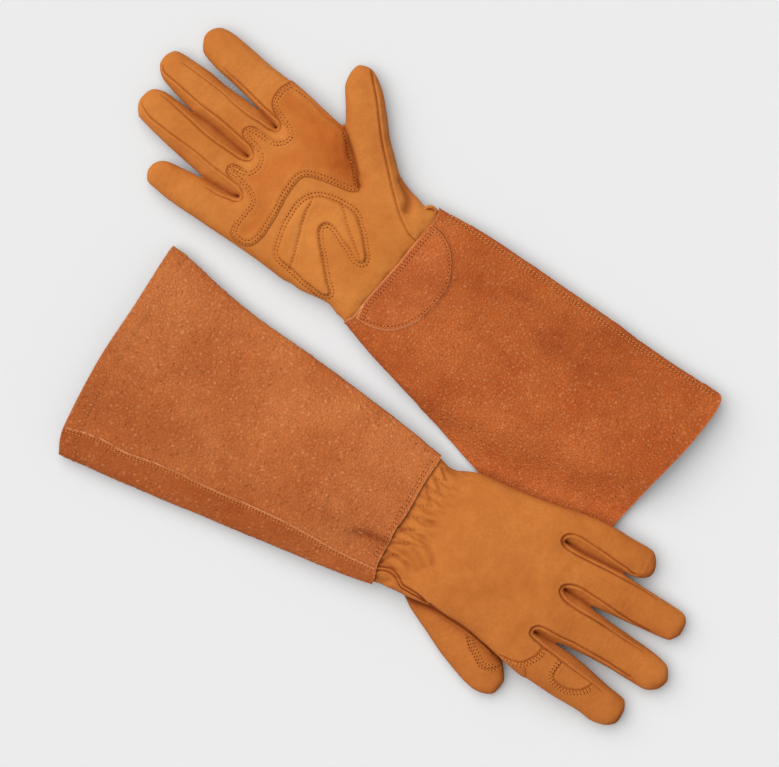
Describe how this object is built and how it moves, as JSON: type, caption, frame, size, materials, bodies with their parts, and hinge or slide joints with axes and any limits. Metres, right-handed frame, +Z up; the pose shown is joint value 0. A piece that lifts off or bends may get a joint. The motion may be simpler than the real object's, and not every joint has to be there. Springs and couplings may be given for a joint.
{
  "type": "pair of leather gardening gloves",
  "caption": "Pair of long leather pruning gloves with flared gauntlet cuffs, padded palm and patched thumb side, laid right palm up and left back up.",
  "frame": {"origin": "centre of the laid-out pair on the plane it rests on", "axes": "+X along the gloves, towards the fingertips of the left glove; +Y across, towards the right glove; +Z up, away from the plane they lie on"},
  "size_m": [0.5252, 0.3422, 0.028],
  "materials": {
    "hand_leather": "smooth tan nubuck, matte",
    "fourchette_leather": "tan leather, matte",
    "patch_leather": "darker tan reinforcement leather, matte",
    "gauntlet_leather": "brown pigskin split, matte with a pebbled grain",
    "half_moon_leather": "brown leather, matte",
    "edge_binding": "pale raw leather edge",
    "foam": "foam padding, not seen",
    "elastic": "woven elastic, not seen"
  },
  "bodies": {
    "right_gauntlet": {"right_gauntlet_back": "gauntlet_leather", "right_gauntlet_palm": "gauntlet_leather", "right_half_moon_patch": "half_moon_leather", "right_wrist_binding": "edge_binding", "right_hem_facing_back": "gauntlet_leather", "right_hem_facing_palm": "gauntlet_leather"},
    "right_hand": {"right_palm_panel": "hand_leather", "right_back_panel": "hand_leather", "right_palm_patch": "patch_leather", "right_heel_pad": "foam", "right_wrist_elastic": "elastic"},
    "right_thumb": {"right_thumb_front": "hand_leather", "right_thumb_back": "hand_leather"},
    "right_index": {"right_index_front": "hand_leather", "right_index_back": "hand_leather", "right_index_fourchette": "fourchette_leather", "right_index_back_patch": "patch_leather"},
    "right_middle": {"right_middle_front": "hand_leather", "right_middle_back": "hand_leather", "right_middle_fourchette_outer": "fourchette_leather", "right_middle_fourchette_inner": "fourchette_leather"},
    "right_ring": {"right_ring_front": "hand_leather", "right_ring_back": "hand_leather", "right_ring_fourchette_outer": "fourchette_leather", "right_ring_fourchette_inner": "fourchette_leather"},
    "right_little": {"right_little_front": "hand_leather", "right_little_back": "hand_leather", "right_little_fourchette": "fourchette_leather"},
    "left_gauntlet": {"left_gauntlet_back": "gauntlet_leather", "left_gauntlet_palm": "gauntlet_leather", "left_half_moon_patch": "half_moon_leather", "left_wrist_binding": "edge_binding", "left_hem_facing_back": "gauntlet_leather", "left_hem_facing_palm": "gauntlet_leather"},
    "left_hand": {"left_palm_panel": "hand_leather", "left_back_panel": "hand_leather", "left_palm_patch": "patch_leather", "left_heel_pad": "foam", "left_wrist_elastic": "elastic"},
    "left_thumb": {"left_thumb_front": "hand_leather", "left_thumb_back": "hand_leather"},
    "left_index": {"left_index_front": "hand_leather", "left_index_back": "hand_leather", "left_index_fourchette": "fourchette_leather", "left_index_back_patch": "patch_leather"},
    "left_middle": {"left_middle_front": "hand_leather", "left_middle_back": "hand_leather", "left_middle_fourchette_outer": "fourchette_leather", "left_middle_fourchette_inner": "fourchette_leather"},
    "left_ring": {"left_ring_front": "hand_leather", "left_ring_back": "hand_leather", "left_ring_fourchette_outer": "fourchette_leather", "left_ring_fourchette_inner": "fourchette_leather"},
    "left_little": {"left_little_front": "hand_leather", "left_little_back": "hand_leather", "left_little_fourchette": "fourchette_leather"}
  },
  "joints": [
    {"name": "left_glove_lift", "type": "slide", "parent": "right_gauntlet", "child": "left_gauntlet", "axis": [0, 0, 1], "range_m": [0, 0.12]},
    {"name": "right_wrist_flex", "type": "hinge", "parent": "right_gauntlet", "child": "right_hand", "pos_m": [-0.05291, 0.06341, 0.0199], "axis": [0.1128, 0.9936, 0], "range_deg": [0, 45]},
    {"name": "right_thumb_flex", "type": "hinge", "parent": "right_hand", "child": "right_thumb", "pos_m": [-0.09271, 0.10717, 0.019], "axis": [0.7455, 0.6665, 0], "range_deg": [0, 50]},
    {"name": "right_index_flex", "type": "hinge", "parent": "right_hand", "child": "right_index", "pos_m": [-0.16751, 0.11523, 0.0188], "axis": [0.1427, 0.9898, 0], "range_deg": [0, 60]},
    {"name": "right_middle_flex", "type": "hinge", "parent": "right_hand", "child": "right_middle", "pos_m": [-0.17191, 0.08725, 0.0188], "axis": [0.1081, 0.9941, 0], "range_deg": [0, 60]},
    {"name": "right_ring_flex", "type": "hinge", "parent": "right_hand", "child": "right_ring", "pos_m": [-0.17231, 0.05959, 0.0188], "axis": [0.0476, 0.9989, 0], "range_deg": [0, 60]},
    {"name": "right_little_flex", "type": "hinge", "parent": "right_hand", "child": "right_little", "pos_m": [-0.16691, 0.03114, 0.0188], "axis": [-0.0444, 0.999, 0], "range_deg": [0, 60]},
    {"name": "left_wrist_extend", "type": "hinge", "parent": "left_gauntlet", "child": "left_hand", "pos_m": [0.05209, -0.07863, 0.0211], "axis": [0.081, -0.9967, 0], "range_deg": [0, 35]},
    {"name": "left_thumb_abduct", "type": "hinge", "parent": "left_hand", "child": "left_thumb", "pos_m": [0.09754, -0.11916, 0.0063], "axis": [0, 0, -1], "range_deg": [0, 30]},
    {"name": "left_index_extend", "type": "hinge", "parent": "left_hand", "child": "left_index", "pos_m": [0.16729, -0.11078, 0.0235], "axis": [-0.0164, -0.9999, 0], "range_deg": [0, 30]},
    {"name": "left_middle_extend", "type": "hinge", "parent": "left_hand", "child": "left_middle", "pos_m": [0.16879, -0.07791, 0.0242], "axis": [0.0434, -0.9991, 0], "range_deg": [0, 30]},
    {"name": "left_ring_extend", "type": "hinge", "parent": "left_hand", "child": "left_ring", "pos_m": [0.16149, -0.04488, 0.0244], "axis": [-0.0074, -1, 0], "range_deg": [0, 30]},
    {"name": "left_little_extend", "type": "hinge", "parent": "left_hand", "child": "left_little", "pos_m": [0.15669, -0.01943, 0.024], "axis": [0.0783, -0.9969, 0], "range_deg": [0, 30]}
  ]
}
